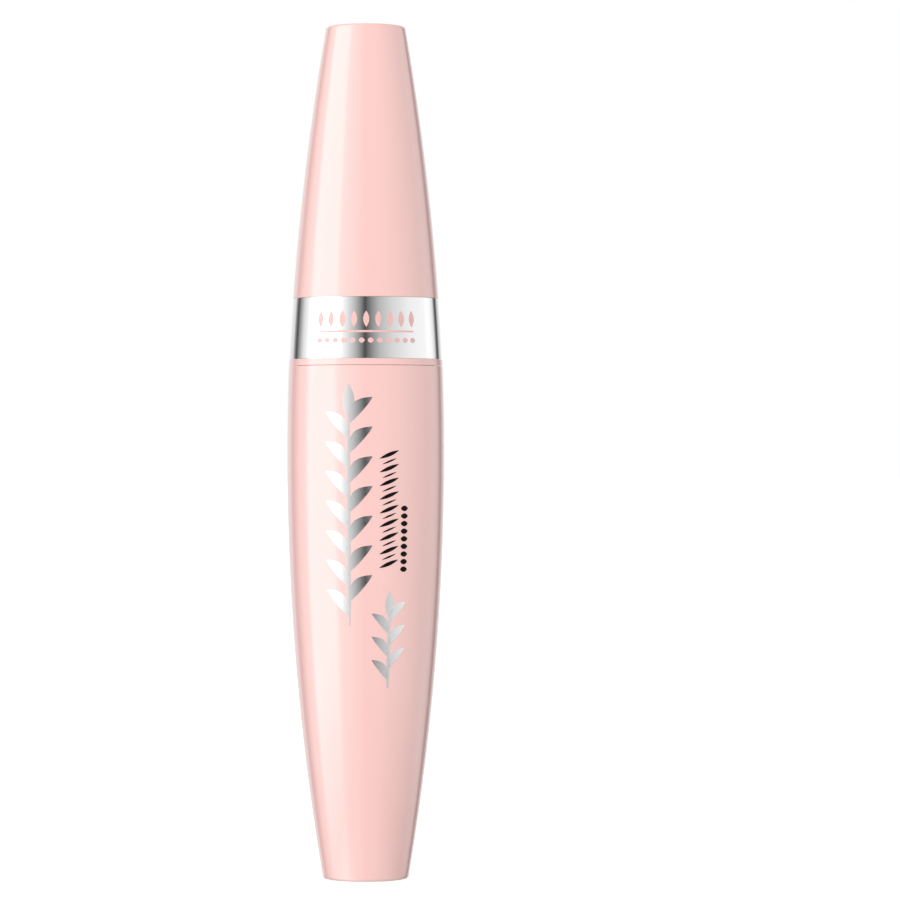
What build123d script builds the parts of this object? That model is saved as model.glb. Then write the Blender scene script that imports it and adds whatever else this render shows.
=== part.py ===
from build123d import *
import math
import os

# A mascara, closed. Z is its axis, the origin is the middle of the foot, and all sizes are millimetres.

# Outside shape: the tube and the cap are each one long shallow bow, met at a fine seam.
TUBE_TOP = 75.12
CAP_BOTTOM = 75.16
CAP_TOP = 125.0
FOOT_RADIUS = 6.28
WIDEST_RADIUS = 11.54
WIDEST_HEIGHT = 60.0
TUBE_TOP_RADIUS = 11.32
CAP_BOTTOM_RADIUS = 11.3
CAP_WAIST_RADIUS = 9.38
CAP_WAIST_HEIGHT = 99.6
CAP_TOP_RADIUS = 5.8
EDGE_ROUND = 0.5
SEAM_ROUND = 0.06

# Metal band, and the pink ring below it.
BAND_BOTTOM = 76.1
BAND_TOP = 85.05
BAND_INSET = 0.07
BAND_WALL = 0.5
BAND_GAP = 0.03
RIM_TONGUE_TOP = 79.0
RIM_TONGUE_WALL = 0.6
CAP_MOUTH_RADIUS = 9.25

# Walls of the two pink mouldings.
SHELL_WALL = 1.5
SHELL_FLOOR = 1.6
SHELL_MOUTH_RADIUS = 10.1
SHELL_LEDGE = 72.5
CAP_WALL = 1.5
CAP_ROOF = 1.8

# Inner bottle and its threaded neck.
FIT_GAP = 0.05
BOTTLE_BOTTOM = 3.2
BOTTLE_FOOT_RADIUS = 5.2
BOTTLE_TOP_RADIUS = 7.4
BOTTLE_WALL = 0.95
BOTTLE_ROUND = 1.2
FLANGE_TOP = 74.9
NECK_RADIUS = 6.2
NECK_BORE_RADIUS = 5.0
NECK_TOP = 90.0
NECK_ROUND = 0.3
THREAD_PITCH = 2.6
THREAD_TURNS = 2.0
THREAD_ROOT_WIDTH = 1.4
THREAD_CREST_WIDTH = 0.7
NECK_THREAD_CREST = 6.75
NECK_THREAD_BOTTOM = 80.6

# Wiper, and the washer that seals on it.
WIPER_FLANGE_RADIUS = 5.9
WIPER_FLANGE = 0.8
WIPER_BORE_RADIUS = 4.3
WIPER_SLEEVE_BOTTOM = 79.0
WIPER_LIP_BOTTOM = 75.6
WIPER_LIP_WALL = 0.35
WIPER_GROOVE_COUNT = 3
WIPER_GROOVE_RADIUS = 0.18
WASHER_OUTER_RADIUS = 7.2
WASHER_INNER_RADIUS = 2.1
WASHER = 0.8
WASHER_GAP = 0.05

# Inner cap.
INNER_CAP_BORE_RADIUS = 7.4
INNER_CAP_RADIUS = 8.25
INNER_CAP_BOTTOM = 75.5
INNER_CAP_FLANGE = 1.0
INNER_CAP_ROOF = 1.5
INNER_THREAD_CREST = 6.9
RIB_COUNT = 12
RIB_WIDTH = 0.8
HUB_RADIUS = 3.4
HUB_TOP = 103.5
HUB_FIN_COUNT = 4
FIN_FOOT_RADIUS = 7.25
FIN_TOP = 101.5

# Wand: the rod and the brush at its end.
ROD_RADIUS = 1.935
ROD_TOP = 102.0
ROD_BOTTOM = 32.45
ROD_SHOULDER_HEIGHT = 0.85
ROD_END_RADIUS = 1.54
ROD_FIT_GAP = 0.02
SOCKET_RADIUS = 0.8
SOCKET_DEPTH = 6.0
BRUSH_LENGTH = 26.65
CORE_RADIUS = 1.03
BRISTLE_PITCH = 1.09
BRISTLE_STAGGER = 0.41
BRISTLES_ROUND_CORE = 10
BRISTLE_BASE_WIDTH = 0.3
BRISTLE_TIP_WIDTH = 0.12
BRISTLE_THICKNESS = 0.2
BRUSH_TIP_RADIUS = 2.85
BRUSH_BELLY_RADIUS = 3.75
BRUSH_WAIST_RADIUS = 3.05
BRUSH_END_RADIUS = 3.35

# Fill: what is left of the paste, round the space that the brush sweeps.
PASTE_TOP = 54.0
PASTE_BORE_RADIUS = 4.0
PASTE_GAP = 0.05


def at(radius, height):
    """A point of an outline, in the half-plane that is turned about Z."""
    return (radius, 0, height)


def bow_through(low, middle, high):
    """Centre radius, centre height and bend radius of the arc through three points of an outline."""
    (r1, z1), (r2, z2), (r3, z3) = low, middle, high
    turn = 2 * (r1 * (z2 - z3) + r2 * (z3 - z1) + r3 * (z1 - z2))
    s1, s2, s3 = r1 * r1 + z1 * z1, r2 * r2 + z2 * z2, r3 * r3 + z3 * z3
    radius = (s1 * (z2 - z3) + s2 * (z3 - z1) + s3 * (z1 - z2)) / turn
    height = (s1 * (r3 - r2) + s2 * (r1 - r3) + s3 * (r2 - r1)) / turn
    return radius, height, math.dist((radius, height), low)


TUBE_BOW = bow_through((FOOT_RADIUS, 0), (WIDEST_RADIUS, WIDEST_HEIGHT), (TUBE_TOP_RADIUS, TUBE_TOP))
CAP_BOW = bow_through(
    (CAP_BOTTOM_RADIUS, CAP_BOTTOM), (CAP_WAIST_RADIUS, CAP_WAIST_HEIGHT), (CAP_TOP_RADIUS, CAP_TOP)
)


def bow_radius(bow, height, inset=0.0):
    """Radius of a bow at a height, moved inwards by the inset along its normal."""
    centre_radius, centre_height, bend = bow
    return centre_radius + math.sqrt((bend - inset) ** 2 - (height - centre_height) ** 2)


def bowed(bow, start, end, inset=0.0):
    """The stretch of a bow between two heights."""
    heights = (start, (start + end) / 2, end)
    return ThreePointArc(*[at(bow_radius(bow, height, inset), height) for height in heights])


def turned(*stretches):
    """A solid of revolution about Z from the stretches of a closed outline."""
    edges = [edge for stretch in stretches for edge in stretch.edges()]
    return revolve(Face(Wire(edges)), Axis.Z)


def round_rims(solid, heights, radius):
    """Round the circular edges of a turned solid that lie at the given heights and face outwards."""
    rims = []
    for height in heights:
        circles = solid.edges().filter_by(GeomType.CIRCLE)
        level = [circle for circle in circles if abs(circle.center().Z - height) < 1e-3]
        rims.append(max(level, key=lambda circle: circle.radius))
    return fillet(rims, radius)


def thread(root_radius, crest_radius, bottom):
    """One helical ridge whose root is sunk in the wall it stands on."""
    height = THREAD_PITCH * THREAD_TURNS
    half_root, half_crest = THREAD_ROOT_WIDTH / 2, THREAD_CREST_WIDTH / 2
    path = Helix(THREAD_PITCH, height, root_radius, center=(0, 0, bottom))
    section = Polyline(
        at(root_radius, bottom - half_root),
        at(crest_radius, bottom - half_crest),
        at(crest_radius, bottom + half_crest),
        at(root_radius, bottom + half_root),
        close=True,
    )
    return sweep(Face(Wire(section.edges())), path=path, is_frenet=True)


def outer_shell():
    """Pink barrel: a closed flat foot, and a ledge inside the mouth for the bottle's flange."""
    floor_radius = bow_radius(TUBE_BOW, SHELL_FLOOR, SHELL_WALL)
    ledge_radius = bow_radius(TUBE_BOW, SHELL_LEDGE, SHELL_WALL)
    shell = turned(
        Line(at(0, 0), at(FOOT_RADIUS, 0)),
        bowed(TUBE_BOW, 0, TUBE_TOP),
        Polyline(
            at(bow_radius(TUBE_BOW, TUBE_TOP), TUBE_TOP),
            at(SHELL_MOUTH_RADIUS, TUBE_TOP),
            at(SHELL_MOUTH_RADIUS, SHELL_LEDGE),
            at(ledge_radius, SHELL_LEDGE),
        ),
        bowed(TUBE_BOW, SHELL_LEDGE, SHELL_FLOOR, SHELL_WALL),
        Polyline(at(floor_radius, SHELL_FLOOR), at(0, SHELL_FLOOR), at(0, 0)),
    )
    shell = round_rims(shell, [0], EDGE_ROUND)
    return round_rims(shell, [TUBE_TOP], SEAM_ROUND)


def inner_bottle():
    """Black container: tapered body, flange that closes the shell, and threaded neck."""
    flange_radius = SHELL_MOUTH_RADIUS - FIT_GAP
    bore_foot = BOTTLE_FOOT_RADIUS - BOTTLE_WALL
    bore_top = BOTTLE_TOP_RADIUS - BOTTLE_WALL
    bottle_floor = BOTTLE_BOTTOM + BOTTLE_WALL
    bottle = turned(
        Polyline(
            at(0, BOTTLE_BOTTOM),
            at(BOTTLE_FOOT_RADIUS, BOTTLE_BOTTOM),
            at(BOTTLE_TOP_RADIUS, SHELL_LEDGE),
            at(flange_radius, SHELL_LEDGE),
            at(flange_radius, FLANGE_TOP),
            at(NECK_RADIUS, FLANGE_TOP),
            at(NECK_RADIUS, NECK_TOP),
            at(NECK_BORE_RADIUS, NECK_TOP),
            at(NECK_BORE_RADIUS, SHELL_LEDGE),
            at(bore_top, SHELL_LEDGE - (bore_top - NECK_BORE_RADIUS)),
            at(bore_foot, bottle_floor),
            at(0, bottle_floor),
            close=True,
        )
    )
    bottle = round_rims(bottle, [BOTTLE_BOTTOM], BOTTLE_ROUND)
    bottle = round_rims(bottle, [NECK_TOP], NECK_ROUND)
    return bottle + thread(NECK_RADIUS - FIT_GAP, NECK_THREAD_CREST, NECK_THREAD_BOTTOM)


def wiper():
    """Soft insert: a flange on the neck's top, a grooved sleeve, and a cone that closes on the rod."""
    sleeve_radius = NECK_BORE_RADIUS - FIT_GAP
    orifice_radius = ROD_RADIUS + FIT_GAP
    insert = turned(
        Polyline(
            at(WIPER_BORE_RADIUS, NECK_TOP + WIPER_FLANGE),
            at(WIPER_FLANGE_RADIUS, NECK_TOP + WIPER_FLANGE),
            at(WIPER_FLANGE_RADIUS, NECK_TOP),
            at(sleeve_radius, NECK_TOP),
            at(sleeve_radius, WIPER_SLEEVE_BOTTOM),
            at(orifice_radius + WIPER_LIP_WALL, WIPER_LIP_BOTTOM),
            at(orifice_radius, WIPER_LIP_BOTTOM),
            at(orifice_radius, WIPER_LIP_BOTTOM + WIPER_LIP_WALL),
            at(WIPER_BORE_RADIUS, WIPER_SLEEVE_BOTTOM + WIPER_LIP_WALL),
            close=True,
        )
    )
    groove_step = (NECK_TOP - WIPER_SLEEVE_BOTTOM) / (WIPER_GROOVE_COUNT + 1)
    for groove in range(1, WIPER_GROOVE_COUNT + 1):
        height = WIPER_SLEEVE_BOTTOM + groove * groove_step
        insert -= Pos(0, 0, height) * Torus(sleeve_radius, WIPER_GROOVE_RADIUS)
    return insert


def seal_washer():
    """Flat liner ring, loose on the rod, between the wiper's flange and the inner cap's roof."""
    bottom = NECK_TOP + WIPER_FLANGE + WASHER_GAP
    ring = Cylinder(WASHER_OUTER_RADIUS, WASHER) - Cylinder(WASHER_INNER_RADIUS, WASHER)
    return Pos(0, 0, bottom + WASHER / 2) * ring


def cap_shell():
    """Pink cap: flat top, bowed side, and a reduced skirt that carries the band and the rim ring."""
    skirt_inset = BAND_INSET + BAND_WALL + BAND_GAP
    tongue_radius = CAP_MOUTH_RADIUS + RIM_TONGUE_WALL + FIT_GAP
    tongue_top = RIM_TONGUE_TOP + FIT_GAP
    roof = CAP_TOP - CAP_ROOF
    shell = turned(
        Line(at(0, CAP_TOP), at(CAP_TOP_RADIUS, CAP_TOP)),
        bowed(CAP_BOW, CAP_TOP, BAND_TOP),
        Line(
            at(bow_radius(CAP_BOW, BAND_TOP), BAND_TOP),
            at(bow_radius(CAP_BOW, BAND_TOP, skirt_inset), BAND_TOP),
        ),
        bowed(CAP_BOW, BAND_TOP, BAND_BOTTOM, skirt_inset),
        Polyline(
            at(bow_radius(CAP_BOW, BAND_BOTTOM, skirt_inset), BAND_BOTTOM),
            at(tongue_radius, BAND_BOTTOM),
            at(tongue_radius, tongue_top),
            at(bow_radius(CAP_BOW, tongue_top, CAP_WALL), tongue_top),
        ),
        bowed(CAP_BOW, tongue_top, roof, CAP_WALL),
        Polyline(at(bow_radius(CAP_BOW, roof, CAP_WALL), roof), at(0, roof), at(0, CAP_TOP)),
    )
    shell = round_rims(shell, [CAP_TOP], EDGE_ROUND)
    return round_rims(shell, [BAND_TOP], SEAM_ROUND)


def cap_band():
    """Thin metal ring round the skirt, standing just inside the outline of the cap."""
    inner = BAND_INSET + BAND_WALL
    band = turned(
        bowed(CAP_BOW, BAND_BOTTOM, BAND_TOP, BAND_INSET),
        Line(
            at(bow_radius(CAP_BOW, BAND_TOP, BAND_INSET), BAND_TOP),
            at(bow_radius(CAP_BOW, BAND_TOP, inner), BAND_TOP),
        ),
        bowed(CAP_BOW, BAND_TOP, BAND_BOTTOM, inner),
        Line(
            at(bow_radius(CAP_BOW, BAND_BOTTOM, inner), BAND_BOTTOM),
            at(bow_radius(CAP_BOW, BAND_BOTTOM, BAND_INSET), BAND_BOTTOM),
        ),
    )
    return round_rims(band, [BAND_BOTTOM, BAND_TOP], SEAM_ROUND)


def cap_rim_ring():
    """Pink ring at the cap's edge, with a tongue that is bonded inside the skirt."""
    tongue_radius = CAP_MOUTH_RADIUS + RIM_TONGUE_WALL
    ring = turned(
        bowed(CAP_BOW, CAP_BOTTOM, BAND_BOTTOM),
        Polyline(
            at(bow_radius(CAP_BOW, BAND_BOTTOM), BAND_BOTTOM),
            at(tongue_radius, BAND_BOTTOM),
            at(tongue_radius, RIM_TONGUE_TOP),
            at(CAP_MOUTH_RADIUS, RIM_TONGUE_TOP),
            at(CAP_MOUTH_RADIUS, CAP_BOTTOM),
            at(bow_radius(CAP_BOW, CAP_BOTTOM), CAP_BOTTOM),
        ),
    )
    return round_rims(ring, [CAP_BOTTOM, BAND_BOTTOM], SEAM_ROUND)


def inner_cap_body(ceiling, roof):
    """Sleeve, roof, foot flange and closed hub of the inner cap, turned in one."""
    flange_radius = CAP_MOUTH_RADIUS - FIT_GAP
    flange_top = INNER_CAP_BOTTOM + INNER_CAP_FLANGE
    socket_radius = ROD_RADIUS + ROD_FIT_GAP
    return turned(
        Polyline(
            at(INNER_CAP_BORE_RADIUS, INNER_CAP_BOTTOM),
            at(flange_radius, INNER_CAP_BOTTOM),
            at(flange_radius, flange_top),
            at(INNER_CAP_RADIUS, flange_top),
            at(INNER_CAP_RADIUS, roof),
            at(HUB_RADIUS, roof),
            at(HUB_RADIUS, HUB_TOP),
            at(0, HUB_TOP),
            at(0, ROD_TOP),
            at(socket_radius, ROD_TOP),
            at(socket_radius, ceiling),
            at(INNER_CAP_BORE_RADIUS, ceiling),
            close=True,
        )
    )


def inner_cap_ribs(roof):
    """Upright ribs that wedge the inner cap in the cap shell."""
    foot = RIM_TONGUE_TOP + 1
    wall = CAP_WALL + FIT_GAP
    root = INNER_CAP_RADIUS - FIT_GAP
    jacket = turned(
        bowed(CAP_BOW, foot, roof, wall),
        Polyline(
            at(bow_radius(CAP_BOW, roof, wall), roof),
            at(root, roof),
            at(root, foot),
            at(bow_radius(CAP_BOW, foot, wall), foot),
        ),
    )
    length = bow_radius(CAP_BOW, foot)
    spoke = Pos(length / 2, 0, (foot + roof) / 2) * Box(length, RIB_WIDTH, roof - foot)
    return jacket & (Part() + PolarLocations(0, RIB_COUNT) * spoke)


def hub_fins(roof):
    """Gussets between the inner cap's roof and its hub."""
    root = HUB_RADIUS - FIT_GAP
    corners = [at(root, roof - FIT_GAP), at(FIN_FOOT_RADIUS, roof - FIT_GAP), at(root, FIN_TOP)]
    fin = extrude(Face(Wire.make_polygon(corners)), RIB_WIDTH / 2, both=True)
    return PolarLocations(0, HUB_FIN_COUNT) * fin


def inner_cap():
    """Black threaded liner of the cap, with the hub that grips the rod."""
    ceiling = NECK_TOP + WIPER_FLANGE + WASHER + 2 * WASHER_GAP
    roof = ceiling + INNER_CAP_ROOF
    thread_bottom = NECK_THREAD_BOTTOM - THREAD_PITCH / 2
    body = inner_cap_body(ceiling, roof) + inner_cap_ribs(roof) + hub_fins(roof)
    return body + thread(INNER_CAP_BORE_RADIUS + FIT_GAP, INNER_THREAD_CREST, thread_bottom)


def rod():
    """Black wand, with a rounded shoulder and a blind socket for the brush."""
    socket_top = ROD_BOTTOM + SOCKET_DEPTH
    socket_radius = SOCKET_RADIUS + ROD_FIT_GAP
    shoulder_top = at(ROD_RADIUS, ROD_BOTTOM + ROD_SHOULDER_HEIGHT)
    shoulder = TangentArc(shoulder_top, at(ROD_END_RADIUS, ROD_BOTTOM), tangent=(0, 0, -1))
    sides = Polyline(
        shoulder_top,
        at(ROD_RADIUS, ROD_TOP),
        at(0, ROD_TOP),
        at(0, socket_top),
        at(socket_radius, socket_top),
        at(socket_radius, ROD_BOTTOM),
        at(ROD_END_RADIUS, ROD_BOTTOM),
    )
    return turned(shoulder, sides)


def brush_radius(share):
    """Half the width across the bristles, at a share of the brush's length from its tip."""
    stations = (0.0, 0.22, 0.5, 0.8, 1.0)
    radii = (BRUSH_TIP_RADIUS, BRUSH_BELLY_RADIUS, BRUSH_WAIST_RADIUS, BRUSH_BELLY_RADIUS, BRUSH_END_RADIUS)
    for start, end, low, high in zip(stations, stations[1:], radii, radii[1:]):
        if share <= end:
            blend = (1 - math.cos(math.pi * (share - start) / (end - start))) / 2
            return low + (high - low) * blend
    return BRUSH_END_RADIUS


def bristle_row(radius, height, turn):
    """One flat ring of straight bristles that stands out from the core."""
    corners = []
    for bristle in range(BRISTLES_ROUND_CORE):
        middle = turn + 2 * math.pi * bristle / BRISTLES_ROUND_CORE
        for reach, side in ((CORE_RADIUS, -BRISTLE_BASE_WIDTH), (radius, -BRISTLE_TIP_WIDTH),
                            (radius, BRISTLE_TIP_WIDTH), (CORE_RADIUS, BRISTLE_BASE_WIDTH)):
            angle = middle + side / 2 / reach
            inner = reach - FIT_GAP if reach == CORE_RADIUS else reach
            corners.append((inner * math.cos(angle), inner * math.sin(angle), height))
    return extrude(Face(Wire.make_polygon(corners)), BRISTLE_THICKNESS, dir=(0, 0, 1))


def brush():
    """Black moulded brush: core, shank in the rod's socket, and staggered rows of bristles."""
    tip = ROD_BOTTOM - BRUSH_LENGTH
    core = turned(
        Polyline(
            at(0, tip),
            at(CORE_RADIUS, tip),
            at(CORE_RADIUS, ROD_BOTTOM),
            at(SOCKET_RADIUS, ROD_BOTTOM),
            at(SOCKET_RADIUS, ROD_BOTTOM + SOCKET_DEPTH),
            at(0, ROD_BOTTOM + SOCKET_DEPTH),
            close=True,
        )
    )
    core = round_rims(core, [tip], CORE_RADIUS * 0.8)
    rows = []
    half_step = math.pi / BRISTLES_ROUND_CORE
    for period in range(int((BRUSH_LENGTH - 1) / BRISTLE_PITCH) + 1):
        for stagger in (0, 1):
            rise = CORE_RADIUS * 0.6 + period * BRISTLE_PITCH + stagger * BRISTLE_STAGGER
            radius = brush_radius(rise / BRUSH_LENGTH)
            rows.append(bristle_row(radius, tip + rise, half_step * stagger))
    return core.fuse(*rows)


def mascara_paste():
    """The remaining fill: a lining of the bottle that is open where the brush sweeps."""
    bottle_floor = BOTTLE_BOTTOM + BOTTLE_WALL
    bore_foot = BOTTLE_FOOT_RADIUS - BOTTLE_WALL - PASTE_GAP
    bore_top = BOTTLE_TOP_RADIUS - BOTTLE_WALL - PASTE_GAP
    share = (PASTE_TOP - bottle_floor) / (SHELL_LEDGE - bottle_floor)
    brush_pocket = ROD_BOTTOM - BRUSH_LENGTH - 0.4
    return turned(
        Polyline(
            at(0, bottle_floor + PASTE_GAP),
            at(bore_foot, bottle_floor + PASTE_GAP),
            at(bore_foot + share * (bore_top - bore_foot), PASTE_TOP),
            at(PASTE_BORE_RADIUS, PASTE_TOP),
            at(PASTE_BORE_RADIUS, brush_pocket),
            at(0, brush_pocket),
            close=True,
        )
    )


NODES = {
    "outer_shell": outer_shell,
    "inner_bottle": inner_bottle,
    "wiper": wiper,
    "mascara_paste": mascara_paste,
    "seal_washer": seal_washer,
    "cap_shell": cap_shell,
    "cap_band": cap_band,
    "cap_rim_ring": cap_rim_ring,
    "inner_cap": inner_cap,
    "rod": rod,
    "brush": brush,
}

os.makedirs("parts", exist_ok=True)
for name, build in NODES.items():
    export_step(build(), f"parts/{name}.step")
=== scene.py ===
import math
from typing import NamedTuple

import bpy
import bmesh
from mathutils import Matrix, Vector
from mathutils.bvhtree import BVHTree


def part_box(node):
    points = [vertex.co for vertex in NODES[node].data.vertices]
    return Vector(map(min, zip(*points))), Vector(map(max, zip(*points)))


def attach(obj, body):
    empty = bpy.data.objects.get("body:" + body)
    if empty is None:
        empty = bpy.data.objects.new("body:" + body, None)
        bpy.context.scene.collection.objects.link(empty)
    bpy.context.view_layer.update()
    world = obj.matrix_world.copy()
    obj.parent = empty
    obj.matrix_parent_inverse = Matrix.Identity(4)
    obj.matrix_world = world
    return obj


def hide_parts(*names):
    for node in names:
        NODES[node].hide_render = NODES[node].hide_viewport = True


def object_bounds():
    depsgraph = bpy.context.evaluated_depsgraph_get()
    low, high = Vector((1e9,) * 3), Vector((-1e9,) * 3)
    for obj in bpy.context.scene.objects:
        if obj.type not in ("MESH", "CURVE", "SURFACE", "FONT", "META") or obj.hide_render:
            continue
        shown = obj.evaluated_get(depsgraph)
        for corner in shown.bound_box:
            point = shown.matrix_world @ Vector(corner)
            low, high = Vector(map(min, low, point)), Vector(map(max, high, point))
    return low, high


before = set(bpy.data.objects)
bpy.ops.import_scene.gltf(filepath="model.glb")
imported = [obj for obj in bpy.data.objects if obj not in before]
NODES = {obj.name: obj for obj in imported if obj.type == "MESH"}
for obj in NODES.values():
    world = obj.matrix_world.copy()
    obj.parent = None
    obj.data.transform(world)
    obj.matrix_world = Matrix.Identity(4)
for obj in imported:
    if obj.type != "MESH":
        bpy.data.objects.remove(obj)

CAD_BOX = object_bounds()
MM = 0.001

# ---------------------------------------------------------------------------------------------
# Sizes, in metres, read from the frame.
# ---------------------------------------------------------------------------------------------

HEIGHT = CAD_BOX[1].z
ROD_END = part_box("rod")[0].z
BRUSH_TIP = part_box("brush")[0].z
BRUSH_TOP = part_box("brush")[1].z
BRUSH_LENGTH = ROD_END - BRUSH_TIP
BRUSH_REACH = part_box("brush")[1].x
FELT_SHARES = (0.1, 0.5, 0.9)


def bow_through(points):
    """Centre radius, centre height and bend radius of the arc through three (radius, height) points."""
    (r1, z1), (r2, z2), (r3, z3) = points
    turn = 2 * (r1 * (z2 - z3) + r2 * (z3 - z1) + r3 * (z1 - z2))
    s1, s2, s3 = r1 * r1 + z1 * z1, r2 * r2 + z2 * z2, r3 * r3 + z3 * z3
    radius = (s1 * (z2 - z3) + s2 * (z3 - z1) + s3 * (z1 - z2)) / turn
    height = (s1 * (r3 - r2) + s2 * (r1 - r3) + s3 * (r2 - r1)) / turn
    return radius, height, math.dist((radius, height), points[0])


def outline_of(node):
    """The bow of a turned node's outside, felt at three heights by rays towards its axis."""
    low, high = (corner.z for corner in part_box(node))
    mesh = NODES[node].data
    skin = BVHTree.FromPolygons([v.co for v in mesh.vertices], [p.vertices[:] for p in mesh.polygons])
    points = []
    for share in FELT_SHARES:
        height = low + share * (high - low)
        touch = skin.ray_cast(Vector((0, -1, height)), Vector((0, 1, 0)))[0]
        points.append((-touch.y, height))
    return bow_through(points)


def surface_point(bow, angle, height, lift=0.0):
    """A point on a bowed surface. Angle 0 is the front, and positive turns to the right."""
    centre_radius, centre_height, bend = bow
    radius = centre_radius + math.sqrt(bend ** 2 - (height - centre_height) ** 2) + lift
    return Vector((radius * math.sin(angle), -radius * math.cos(angle), height))


# ---------------------------------------------------------------------------------------------
# Material helpers.
# ---------------------------------------------------------------------------------------------

# The part of a noise's range, from 0 to 1, over which colour and roughness change.
NOISE_LOW = 0.3
NOISE_HIGH = 0.7


def new_material(name):
    """A node material, with its tree and its principled shader."""
    material = bpy.data.materials.new(name)
    material.use_nodes = True
    tree = material.node_tree
    return material, tree, tree.nodes["Principled BSDF"]


def set_inputs(shader, **values):
    """Set a shader's own sockets, with the sockets' names in lower case and underscores."""
    sockets = {socket.name.lower().replace(" ", "_"): socket for socket in shader.inputs}
    for name, value in values.items():
        sockets[name].default_value = value


def noise(tree, scale, detail=3.0, stretch=(1, 1, 1)):
    """Noise that is fixed to the object, with an optional stretch."""
    coordinates = tree.nodes.new("ShaderNodeTexCoord")
    mapping = tree.nodes.new("ShaderNodeMapping")
    mapping.inputs["Scale"].default_value = stretch
    texture = tree.nodes.new("ShaderNodeTexNoise")
    texture.inputs["Scale"].default_value = scale
    texture.inputs["Detail"].default_value = detail
    tree.links.new(coordinates.outputs["Object"], mapping.inputs["Vector"])
    tree.links.new(mapping.outputs["Vector"], texture.inputs["Vector"])
    return texture.outputs["Fac"]


def vary_colour(tree, shader, factor, low, high):
    """Base colour that wanders between two colours."""
    ramp = tree.nodes.new("ShaderNodeValToRGB")
    ramp.color_ramp.elements[0].position = NOISE_LOW
    ramp.color_ramp.elements[0].color = (*low, 1)
    ramp.color_ramp.elements[1].position = NOISE_HIGH
    ramp.color_ramp.elements[1].color = (*high, 1)
    tree.links.new(factor, ramp.inputs["Fac"])
    tree.links.new(ramp.outputs["Color"], shader.inputs["Base Color"])


def vary_roughness(tree, shader, factor, low, high):
    """Roughness that wanders between two values."""
    spread = tree.nodes.new("ShaderNodeMapRange")
    spread.inputs["From Min"].default_value = NOISE_LOW
    spread.inputs["From Max"].default_value = NOISE_HIGH
    spread.inputs["To Min"].default_value = low
    spread.inputs["To Max"].default_value = high
    tree.links.new(factor, spread.inputs["Value"])
    tree.links.new(spread.outputs["Result"], shader.inputs["Roughness"])


def add_bump(tree, shader, factor, strength, distance):
    """Fine relief of the surface."""
    bump = tree.nodes.new("ShaderNodeBump")
    bump.inputs["Strength"].default_value = strength
    bump.inputs["Distance"].default_value = distance
    tree.links.new(factor, bump.inputs["Height"])
    tree.links.new(bump.outputs["Normal"], shader.inputs["Normal"])


# ---------------------------------------------------------------------------------------------
# Materials.
# ---------------------------------------------------------------------------------------------


def pink_plastic():
    """Moulded pink under clear lacquer, with faint flow marks and a trace of moulding ripple."""
    material, tree, shader = new_material("pink_gloss")
    flow = noise(tree, 60, stretch=(1, 1, 0.25))
    vary_colour(tree, shader, flow, (0.922, 0.577, 0.544), (0.937, 0.591, 0.558))
    vary_roughness(tree, shader, noise(tree, 900), 0.035, 0.055)
    add_bump(tree, shader, noise(tree, 420, detail=1.0), 0.02, 0.02 * MM)
    set_inputs(shader, ior=1.5, coat_weight=1.0, coat_roughness=0.03, coat_ior=1.5)
    return material


def bright_metal():
    """Mirror-plated ring, with hair-fine polishing lines that run round it."""
    material, tree, shader = new_material("mirror_metal")
    lines = noise(tree, 1, detail=2.0, stretch=(300, 300, 14000))
    vary_colour(tree, shader, noise(tree, 90), (0.955, 0.955, 0.958), (0.975, 0.975, 0.975))
    vary_roughness(tree, shader, lines, 0.02, 0.045)
    add_bump(tree, shader, lines, 0.015, 0.01 * MM)
    set_inputs(shader, metallic=1.0)
    return material


def foil():
    """Hot-stamped silver foil."""
    material, tree, shader = new_material("silver_foil")
    grain = noise(tree, 2600, detail=2.0)
    vary_colour(tree, shader, noise(tree, 300), (0.96, 0.965, 0.97), (0.985, 0.985, 0.985))
    vary_roughness(tree, shader, grain, 0.09, 0.17)
    add_bump(tree, shader, grain, 0.05, 0.01 * MM)
    set_inputs(shader, metallic=1.0)
    return material


def ink(name, low, high, shine):
    """Silk-screened ink, slightly uneven, between two colours. Shine is its specular level."""
    material, tree, shader = new_material(name)
    vary_colour(tree, shader, noise(tree, 1500), low, high)
    vary_roughness(tree, shader, noise(tree, 3200), 0.22, 0.34)
    add_bump(tree, shader, noise(tree, 4000), 0.08, 0.01 * MM)
    set_inputs(shader, specular_ior_level=shine)
    return material


def black_gloss():
    """Black moulded plastic of the rod, the inner cap and the bottle."""
    material, tree, shader = new_material("black_gloss")
    vary_colour(tree, shader, noise(tree, 220), (0.0012, 0.0012, 0.0012), (0.003, 0.003, 0.003))
    vary_roughness(tree, shader, noise(tree, 900), 0.06, 0.12)
    add_bump(tree, shader, noise(tree, 500, detail=1.0), 0.03, 0.02 * MM)
    set_inputs(shader, ior=1.5, specular_ior_level=0.38)
    return material


def bristle_plastic():
    """Soft satin black of the moulded brush."""
    material, tree, shader = new_material("bristle_black")
    vary_colour(tree, shader, noise(tree, 700), (0.001, 0.001, 0.001), (0.003, 0.003, 0.003))
    vary_roughness(tree, shader, noise(tree, 2500), 0.28, 0.42)
    add_bump(tree, shader, noise(tree, 5000), 0.1, 0.01 * MM)
    set_inputs(shader, specular_ior_level=0.2)
    return material


def soft_black():
    """Satin black of the wiper."""
    material, tree, shader = new_material("wiper_black")
    vary_colour(tree, shader, noise(tree, 300), (0.008, 0.008, 0.008), (0.016, 0.016, 0.016))
    vary_roughness(tree, shader, noise(tree, 1500), 0.3, 0.45)
    add_bump(tree, shader, noise(tree, 3000), 0.1, 0.02 * MM)
    return material


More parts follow.
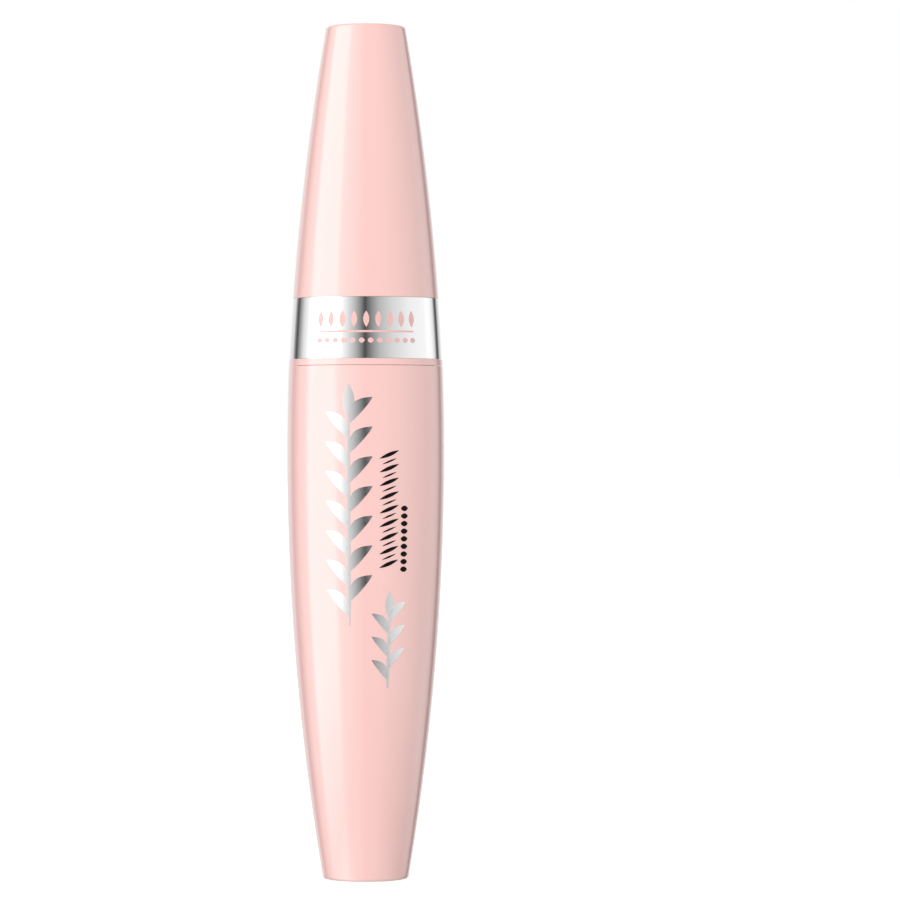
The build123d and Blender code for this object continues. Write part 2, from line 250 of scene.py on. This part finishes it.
def soft_white():
    """Foamed liner of the washer, with fine closed cells."""
    material, tree, shader = new_material("liner_white")
    cells = noise(tree, 6000, detail=4.0)
    vary_colour(tree, shader, cells, (0.74, 0.74, 0.72), (0.84, 0.84, 0.82))
    vary_roughness(tree, shader, cells, 0.5, 0.65)
    add_bump(tree, shader, cells, 0.25, 0.03 * MM)
    return material


def wet_paste():
    """Thick wet black mascara."""
    material, tree, shader = new_material("wet_paste")
    folds = noise(tree, 500, detail=4.0)
    vary_colour(tree, shader, folds, (0.004, 0.0035, 0.0035), (0.010, 0.009, 0.009))
    vary_roughness(tree, shader, folds, 0.12, 0.3)
    add_bump(tree, shader, folds, 0.5, 0.1 * MM)
    return material


def floor_paint():
    """Plain pale matt surface, lit a little from below like a light table."""
    material, tree, shader = new_material("pale_floor")
    vary_colour(tree, shader, noise(tree, 8), (0.93, 0.93, 0.93), (0.94, 0.94, 0.94))
    set_inputs(shader, roughness=1.0, specular_ior_level=0.0)
    set_inputs(shader, emission_color=(1, 1, 1, 1), emission_strength=0.35)
    return material


def dress(node, material):
    """Give a CAD node its finished material."""
    for slot in NODES[node].material_slots:
        slot.material = material


# ---------------------------------------------------------------------------------------------
# Mesh helpers.
# ---------------------------------------------------------------------------------------------


def new_piece(name, mesh_builder, material, body):
    """A piece made in bmesh, smooth-shaded, that rides on a CAD body."""
    mesh = bpy.data.meshes.new(name)
    builder = bmesh.new()
    mesh_builder(builder)
    bmesh.ops.recalc_face_normals(builder, faces=builder.faces)
    for face in builder.faces:
        face.smooth = True
    builder.to_mesh(mesh)
    builder.free()
    mesh.materials.append(material)
    piece = bpy.data.objects.new(name, mesh)
    bpy.context.scene.collection.objects.link(piece)
    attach(piece, body)
    return piece


def add_grid(builder, rows, close=False):
    """Quads between rows of points; close joins each row's end to its start."""
    made = [[builder.verts.new(point) for point in row] for row in rows]
    for lower, upper in zip(made, made[1:]):
        count = len(lower)
        for i in range(count if close else count - 1):
            j = (i + 1) % count
            builder.faces.new((lower[i], lower[j], upper[j], upper[i]))
    return made


# ---------------------------------------------------------------------------------------------
# Printed marks: shapes laid on the bowed surfaces.
# ---------------------------------------------------------------------------------------------

PRINT_LIFT = 0.035 * MM
PRINT_SINK = 0.02 * MM
LEAF_STEPS = 16
LEAF_LANES = 4
LEAF_TIP_SHARE = 0.04
LEAF_SHARPNESS = 0.8
STEM_WIDTH = 0.55 * MM
STEM_SHARPNESS = 0.25
SPRIG_SPREAD = math.radians(42)
SPRIG_LEAF_CURVE = 0.12
SPRIG_LEAF_OFFSET = 0.1 * MM
FIRST_LEAF_SHARE = 0.35


class Sprig(NamedTuple):
    """An upright twig, in millimetres. Middle is its distance round the front, positive to the right."""

    name: str
    middle: float
    low: float
    high: float
    pairs: int
    leaf_length: float
    leaf_width: float


class MarkRow(NamedTuple):
    """Equal marks in a straight row, in millimetres. First and last are (distance round the front, height),
    and lean is in degrees from straight up, positive to the right."""

    name: str
    first: tuple
    last: tuple
    count: int
    lean: float
    length: float
    width: float
    sharpness: float = LEAF_SHARPNESS


# Sharpness of a mark that is a plain stroke, and of one that is nearly a dot.
BLUNT = 0.12
ROUND = 0.6

TUBE_SPRIGS = (
    Sprig("foil_sprig_large", middle=-2.3, low=37.4, high=72.4, pairs=7, leaf_length=5.0, leaf_width=1.75),
    Sprig("foil_sprig_small", middle=3.9, low=28.4, high=42.4, pairs=3, leaf_length=3.9, leaf_width=1.3),
)
TUBE_ROWS = (
    MarkRow("black_lash_marks", (3.7, 46.4), (3.7, 62.2), 9, lean=68, length=3.1, width=0.54),
    MarkRow("black_hair_marks", (3.7, 47.4), (3.7, 61.2), 8, lean=68, length=2.3, width=0.26),
    MarkRow("black_dot_marks", (6.1, 45.6), (6.1, 54.4), 9, lean=90, length=1.1, width=0.78,
            sharpness=ROUND),
)
BAND_ROWS = (
    MarkRow("pink_band_line", (0.3, 80.0), (0.3, 80.0), 1, lean=90, length=15.8, width=0.3,
            sharpness=BLUNT),
    MarkRow("pink_band_diamonds", (-7.3, 81.8), (7.9, 81.8), 9, lean=0, length=2.3, width=0.95),
    MarkRow("pink_band_dots", (-7.4, 78.7), (8.0, 78.7), 12, lean=90, length=0.9, width=0.75,
            sharpness=ROUND),
)


def add_leaf(builder, bow, root, direction, length, width, sharpness=LEAF_SHARPNESS, curve=0.0):
    """A thin pointed leaf on the surface, closed all round. Root is (distance round the front, height), and
    direction is in radians from straight up, positive to the right. Sharpness is the power of its sine
    outline, so that a lower one is blunter, and curve bends its spine."""
    widest = bow[0] + bow[2]

    def spot(along, across, lift):
        half = width / 2 * max(math.sin(math.pi * along), LEAF_TIP_SHARE) ** sharpness
        side = across * half + curve * length * math.sin(math.pi * along)
        x = root[0] + math.sin(direction) * along * length + math.cos(direction) * side
        z = root[1] + math.cos(direction) * along * length - math.sin(direction) * side
        return surface_point(bow, x / widest, z, lift)

    steps = [step / LEAF_STEPS for step in range(LEAF_STEPS + 1)]
    lanes = [2 * lane / LEAF_LANES - 1 for lane in range(LEAF_LANES + 1)]
    rims = []
    for lift in (PRINT_LIFT, -PRINT_SINK):
        made = add_grid(builder, [[spot(along, across, lift) for across in lanes] for along in steps])
        right_side = [row[-1] for row in made[1:-1]]
        left_side = [row[0] for row in made[-2:0:-1]]
        rims.append(made[0] + right_side + made[-1][::-1] + left_side)
    top, bottom = rims
    for i in range(len(top)):
        builder.faces.new((top[i - 1], top[i], bottom[i], bottom[i - 1]))
        builder.edges.get((top[i - 1], top[i])).smooth = False


def sprig_builder(bow, sprig):
    """Builder of a twig: a thin stem with staggered pairs of leaves and one leaf at its top."""
    middle, low, high = sprig.middle * MM, sprig.low * MM, sprig.high * MM
    leaf_length, leaf_width = sprig.leaf_length * MM, sprig.leaf_width * MM
    stem_length = high - low - leaf_length
    step = stem_length / sprig.pairs

    def build(builder):
        add_leaf(builder, bow, (middle, low), 0.0, stem_length, STEM_WIDTH, STEM_SHARPNESS)
        for pair in range(sprig.pairs):
            height = low + (pair + FIRST_LEAF_SHARE) * step
            for side in (-1, 1):
                root = (middle + side * SPRIG_LEAF_OFFSET, height + (step / 2 if side > 0 else 0.0))
                bend = -SPRIG_LEAF_CURVE * side
                add_leaf(builder, bow, root, side * SPRIG_SPREAD, leaf_length, leaf_width, curve=bend)
        add_leaf(builder, bow, (middle, high - leaf_length), 0.0, leaf_length, leaf_width)

    return build


def evenly(start, end, count):
    """Count numbers from start to end. A single one is the start."""
    return [start + (end - start) * i / max(count - 1, 1) for i in range(count)]


def row_builder(bow, row):
    """Builder of a row of marks, each centred on its place."""
    lean, length, width = math.radians(row.lean), row.length * MM, row.width * MM
    across = evenly(row.first[0], row.last[0], row.count)
    heights = evenly(row.first[1], row.last[1], row.count)

    def build(builder):
        for x, z in zip(across, heights):
            root = (x * MM - math.sin(lean) * length / 2, z * MM - math.cos(lean) * length / 2)
            add_leaf(builder, bow, root, lean, length, width, row.sharpness)

    return build


def print_the_marks():
    """Foil sprigs and black marks on the tube, and pink marks on the metal band."""
    tube = outline_of("outer_shell")
    band = outline_of("cap_band")
    silver = foil()
    black = ink("black_ink", (0.001, 0.001, 0.001), (0.003, 0.003, 0.003), shine=0.15)
    pink = ink("pink_ink", (0.80, 0.47, 0.44), (0.86, 0.52, 0.49), shine=0.5)
    for sprig in TUBE_SPRIGS:
        new_piece(sprig.name, sprig_builder(tube, sprig), silver, "tube")
    for row in TUBE_ROWS:
        new_piece(row.name, row_builder(tube, row), black, "tube")
    for row in BAND_ROWS:
        new_piece(row.name, row_builder(band, row), pink, "cap")


# ---------------------------------------------------------------------------------------------
# Brush: a core with staggered rings of tapered bristles that lean towards its tip.
# ---------------------------------------------------------------------------------------------

# The core's tip is rounded over the length CORE_TIP, down to a flat of CORE_TIP_FLAT times its radius.
CORE_RADIUS = 1.03 * MM
CORE_TIP = 0.45 * MM
CORE_TIP_FLAT = 0.35
CORE_SWELL = 0.04
CORE_STEPS = 240
CORE_SIDES = 32
SHANK_RADIUS = 0.8 * MM
BRISTLE_PITCH = 1.09 * MM
BRISTLE_LEAN = math.radians(8)
BRISTLE_SIDES = 7
BRISTLE_ROOT = 0.9 * CORE_RADIUS
# Length without bristles at each end of the brush.
BARE_END = 0.5 * MM
# Share of the bristle's length, and radius there in millimetres.
BRISTLE_PROFILE = ((0.0, 0.26), (0.1, 0.2), (0.25, 0.16), (0.6, 0.135), (0.93, 0.115), (0.985, 0.07))
# Rings of four bristles in each pitch: height within the pitch and first angle in degrees.
BRISTLE_RINGS = ((0.0, 4), (0.42 * MM, -4), (0.67 * MM, 41), (0.86 * MM, 49))
# Share of the brush's length from its tip, and share of its greatest reach there.
BRUSH_STATIONS = ((0.0, 0.76), (0.22, 1.0), (0.5, 0.813), (0.8, 1.0), (1.0, 0.893))


def brush_reach(share):
    """Half the brush's width at a share of its length from its tip, eased between the stations."""
    for (start, low), (end, high) in zip(BRUSH_STATIONS, BRUSH_STATIONS[1:]):
        if share <= end:
            blend = (1 - math.cos(math.pi * (share - start) / (end - start))) / 2
            return BRUSH_REACH * (low + (high - low) * blend)
    return BRUSH_REACH * BRUSH_STATIONS[-1][1]


def round_angles(count):
    """Even angles round a full turn."""
    return [2 * math.pi * i / count for i in range(count)]


def add_bristle(builder, height, angle, reach):
    """One tapered round bristle with a flared root and a rounded end."""
    outward = Vector((math.cos(angle), math.sin(angle), 0))
    spine = (outward * math.cos(BRISTLE_LEAN) - Vector((0, 0, math.sin(BRISTLE_LEAN)))).normalized()
    side = Vector((-math.sin(angle), math.cos(angle), 0))
    over = spine.cross(side)
    root = outward * BRISTLE_ROOT + Vector((0, 0, height))
    length = (reach - BRISTLE_ROOT) / math.cos(BRISTLE_LEAN)
    ring = [side * math.cos(a) + over * math.sin(a) for a in round_angles(BRISTLE_SIDES)]
    rows = []
    for share, radius in BRISTLE_PROFILE:
        centre = root + spine * length * share
        rows.append([centre + ray * radius * MM for ray in ring])
    made = add_grid(builder, rows, close=True)
    tip = builder.verts.new(root + spine * length)
    for i in range(BRISTLE_SIDES):
        builder.faces.new((made[-1][i], made[-1][(i + 1) % BRISTLE_SIDES], tip))
    builder.faces.new(reversed(made[0]))


def add_core(builder):
    """Core of the brush: rounded tip, faint swell at each ring, and a shank that enters the rod."""
    outline = []
    for step in range(CORE_STEPS + 1):
        rise = BRUSH_LENGTH * step / CORE_STEPS
        swell = 1 + CORE_SWELL * math.cos(2 * math.pi * rise / BRISTLE_PITCH)
        short = max(1 - rise / CORE_TIP, 0)
        rounded = max(math.sqrt(1 - short ** 2), CORE_TIP_FLAT)
        outline.append((CORE_RADIUS * swell * rounded, BRUSH_TIP + rise))
    outline += [(SHANK_RADIUS, ROD_END), (SHANK_RADIUS, BRUSH_TOP)]
    angles = round_angles(CORE_SIDES)
    rows = [[Vector((r * math.cos(a), r * math.sin(a), z)) for a in angles] for r, z in outline]
    made = add_grid(builder, rows, close=True)
    builder.faces.new(made[0][::-1])
    builder.faces.new(made[-1])


def build_brush(builder):
    """The whole moulded brush."""
    add_core(builder)
    for pitch in range(int(BRUSH_LENGTH / BRISTLE_PITCH)):
        for rise, first_angle in BRISTLE_RINGS:
            height = BARE_END + pitch * BRISTLE_PITCH + rise
            if height > BRUSH_LENGTH - BARE_END:
                continue
            reach = brush_reach(height / BRUSH_LENGTH)
            root = BRUSH_TIP + height + reach * math.sin(BRISTLE_LEAN) / 2
            for quarter in range(4):
                add_bristle(builder, root, math.radians(first_angle + 90 * quarter), reach)


def make_brush():
    """The detailed brush in place of its plain CAD solid."""
    piece = new_piece("brush_bristles", build_brush, bristle_plastic(), "cap")
    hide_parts("brush")


# ---------------------------------------------------------------------------------------------
# Studio: floor, soft light, reflections and camera.
# ---------------------------------------------------------------------------------------------

# Brightness of the light tent by direction, in degrees from the front, positive to the right. Diffuse light
# comes from the even white surroundings and four soft suns; the tent is what glossy surfaces mirror.
TENT = (
    (-180, 0.95), (-164, 0.88), (-152, 0.78), (-144, 0.72), (-138, 0.3), (-130, 0.06), (-121, 0.33),
    (-110, 0.75), (-99, 1.0), (-90, 2.7), (-47, 2.7), (-41, 1.4), (-35, 0.98), (-17, 0.53), (0, 0.07),
    (11, 0.28), (23, 0.5), (41, 0.68), (74, 0.89), (104, 0.96), (112, 1.06), (121, 1.0), (131, 0.76),
    (138, 0.18), (144, 0.05), (152, 0.55), (164, 0.84), (180, 0.95),
)
# Share of that brightness by the sine of the height above level: dimmer at the tent's foot and its top.
TENT_HEIGHTS = ((-1.0, 0.6), (-0.45, 0.8), (-0.34, 0.4), (-0.19, 1.0), (0.5, 1.0), (0.9, 0.3))
AMBIENT = 0.46
FLOOR_HALF = 8.0


class SoftSun(NamedTuple):
    """A soft light, with its angles in degrees. Side is from the front, positive to the right."""

    name: str
    side: float
    rise: float
    spread: float
    strength: float


SUNS = (
    SoftSun("key_light", side=-15, rise=8, spread=50, strength=2.1),
    SoftSun("side_light", side=-80, rise=8, spread=50, strength=0.55),
    SoftSun("back_light", side=150, rise=8, spread=50, strength=1.7),
    SoftSun("top_light", side=0, rise=90, spread=60, strength=0.7),
)

# Camera place as shares of the closed height, and its lens in millimetres.
CAMERA_RIGHT = 0.099
CAMERA_DISTANCE = 4.96
CAMERA_HEIGHT = 0.5027
CAMERA_LENS = 168.8
CAMERA_SENSOR = 36


def make_floor():
    """Wide plain floor under the tube. It isn't mirrored in the tube, and neither lights nor shades it."""
    mesh = bpy.data.meshes.new("floor")
    builder = bmesh.new()
    corners = ((-1, -1), (1, -1), (1, 1), (-1, 1))
    builder.faces.new([builder.verts.new((x * FLOOR_HALF, y * FLOOR_HALF, 0)) for x, y in corners])
    builder.to_mesh(mesh)
    builder.free()
    mesh.materials.append(floor_paint())
    floor = bpy.data.objects.new("floor", mesh)
    bpy.context.scene.collection.objects.link(floor)
    floor.location.z = CAD_BOX[0].z
    floor.visible_glossy = False
    floor.visible_diffuse = False
    floor.visible_shadow = False


def ramp_of(tree, place, stops):
    """Grey level at a place from 0 to 1, blended between (place, level) stops."""
    ramp = tree.nodes.new("ShaderNodeValToRGB")
    elements = ramp.color_ramp.elements
    while len(elements) < len(stops):
        elements.new(0.5)
    for element, (position, level) in zip(elements, stops):
        element.position = position
        element.color = (level, level, level, 1)
    tree.links.new(place, ramp.inputs["Fac"])
    return ramp.outputs["Color"]


def share_between(tree, value, low, high):
    """Where a value lies between low and high, from 0 to 1."""
    spread = tree.nodes.new("ShaderNodeMapRange")
    spread.inputs["From Min"].default_value = low
    spread.inputs["From Max"].default_value = high
    tree.links.new(value, spread.inputs["Value"])
    return spread.outputs["Result"]


def times(tree, value, factor):
    """A value times a fixed factor."""
    product = tree.nodes.new("ShaderNodeMath")
    product.operation = "MULTIPLY"
    product.inputs[1].default_value = factor
    tree.links.new(value, product.inputs[0])
    return product.outputs["Value"]


def angle_from_front(tree, direction):
    """A direction's angle round the tube, in radians, positive to the right."""
    angle = tree.nodes.new("ShaderNodeMath")
    angle.operation = "ARCTAN2"
    tree.links.new(direction.outputs["X"], angle.inputs[0])
    tree.links.new(times(tree, direction.outputs["Y"], -1.0), angle.inputs[1])
    return angle.outputs["Value"]


def light_tent(tree):
    """The tent's bright and dark panels."""
    direction = tree.nodes.new("ShaderNodeSeparateXYZ")
    coordinates = tree.nodes.new("ShaderNodeTexCoord")
    tree.links.new(coordinates.outputs["Generated"], direction.inputs["Vector"])
    brightest = max(level for _, level in TENT)
    round_stops = [((degrees + 180) / 360, level / brightest) for degrees, level in TENT]
    height_stops = [((height + 1) / 2, share) for height, share in TENT_HEIGHTS]
    turn = share_between(tree, angle_from_front(tree, direction), -math.pi, math.pi)
    rise = share_between(tree, direction.outputs["Z"], -1.0, 1.0)
    tent = tree.nodes.new("ShaderNodeBackground")
    tree.links.new(ramp_of(tree, turn, round_stops), tent.inputs["Color"])
    tree.links.new(times(tree, ramp_of(tree, rise, height_stops), brightest), tent.inputs["Strength"])
    return tent.outputs["Background"]


def even_white(tree, strength):
    """Plain white surroundings."""
    white = tree.nodes.new("ShaderNodeBackground")
    white.inputs["Color"].default_value = (1, 1, 1, 1)
    white.inputs["Strength"].default_value = strength
    return white.outputs["Background"]


def one_for_rays(tree, kind, shader, other):
    """One shader for rays of a kind, and the other for the rest."""
    rays = tree.nodes.new("ShaderNodeLightPath")
    choice = tree.nodes.new("ShaderNodeMixShader")
    tree.links.new(rays.outputs[kind], choice.inputs["Fac"])
    tree.links.new(other, choice.inputs[1])
    tree.links.new(shader, choice.inputs[2])
    return choice.outputs["Shader"]


def make_world():
    """White to the camera, the light tent to glossy rays, and softer white to the rest."""
    world = bpy.data.worlds.new("studio")
    bpy.context.scene.world = world
    world.use_nodes = True
    tree = world.node_tree
    tree.nodes.clear()
    unseen = one_for_rays(tree, "Is Glossy Ray", light_tent(tree), even_white(tree, AMBIENT))
    seen = one_for_rays(tree, "Is Camera Ray", even_white(tree, 1.0), unseen)
    output = tree.nodes.new("ShaderNodeOutputWorld")
    tree.links.new(seen, output.inputs["Surface"])


def add_sun(sun):
    """Soft even light from one side, which isn't mirrored by glossy surfaces."""
    light = bpy.data.lights.new(sun.name, "SUN")
    light.angle = math.radians(sun.spread)
    light.energy = sun.strength
    lamp = bpy.data.objects.new(sun.name, light)
    bpy.context.scene.collection.objects.link(lamp)
    side, rise = math.radians(sun.side), math.radians(sun.rise)
    outward = Vector((math.sin(side) * math.cos(rise), -math.cos(side) * math.cos(rise), math.sin(rise)))
    lamp.location = Vector((0, 0, HEIGHT / 2)) + outward
    lamp.rotation_euler = outward.to_track_quat("Z", "Y").to_euler()
    lamp.visible_glossy = False


def make_camera():
    """A long lens, level with the middle of the tube, which stands left of the picture's centre."""
    camera = bpy.data.cameras.new("camera")
    camera.sensor_width = CAMERA_SENSOR
    camera.lens = CAMERA_LENS
    camera.clip_start = 0.05
    camera.clip_end = 50
    eye = bpy.data.objects.new("camera", camera)
    bpy.context.scene.collection.objects.link(eye)
    eye.location = (CAMERA_RIGHT * HEIGHT, -CAMERA_DISTANCE * HEIGHT, CAMERA_HEIGHT * HEIGHT)
    eye.rotation_euler = (math.pi / 2, 0, 0)
    bpy.context.scene.camera = eye


def make_studio():
    """Everything round the object."""
    bpy.context.scene.view_settings.view_transform = "Standard"
    make_floor()
    make_world()
    for sun in SUNS:
        add_sun(sun)
    make_camera()


# ---------------------------------------------------------------------------------------------
# The whole scene.
# ---------------------------------------------------------------------------------------------


def main():
    """Dress the frame, add the pieces and light them."""
    pink, black = pink_plastic(), black_gloss()
    for node in ("outer_shell", "cap_shell", "cap_rim_ring"):
        dress(node, pink)
    for node in ("inner_bottle", "inner_cap", "rod"):
        dress(node, black)
    dress("cap_band", bright_metal())
    dress("wiper", soft_black())
    dress("seal_washer", soft_white())
    dress("mascara_paste", wet_paste())
    print_the_marks()
    make_brush()
    make_studio()


main()
